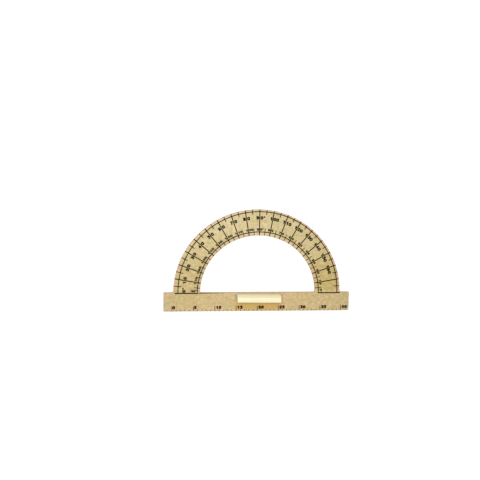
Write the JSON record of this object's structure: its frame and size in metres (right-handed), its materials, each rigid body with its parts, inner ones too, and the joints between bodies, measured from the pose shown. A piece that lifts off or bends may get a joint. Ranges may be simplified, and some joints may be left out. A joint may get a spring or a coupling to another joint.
{
  "type": "blackboard protractor",
  "caption": "Large wooden blackboard protractor: a D-shaped sheet with an angle scale, a straight centimetre ruler bar and a screwed-on wooden grip.",
  "frame": {"origin": "middle of the protractor's baseline, on the back face of the sheet", "axes": "+X along the ruler from 0 to 40 cm, +Y towards the 90 degree mark, +Z out of the printed front face"},
  "size_m": [0.439, 0.2393, 0.03],
  "materials": {
    "fibreboard": "thin clear varnish on medium-density fibreboard",
    "grip_wood": "planed and varnished pine",
    "screw_steel": "zinc-plated",
    "print_ink": "matte dark brown screen-printing ink"
  },
  "bodies": {
    "root": {"board": "fibreboard", "grip": "grip_wood", "grip_screw_left": "screw_steel", "grip_screw_right": "screw_steel", "scale_lines": "print_ink", "outer_numbers": "print_ink", "inner_numbers": "print_ink", "ruler_ticks": "print_ink", "ruler_numbers": "print_ink"}
  },
  "joints": []
}
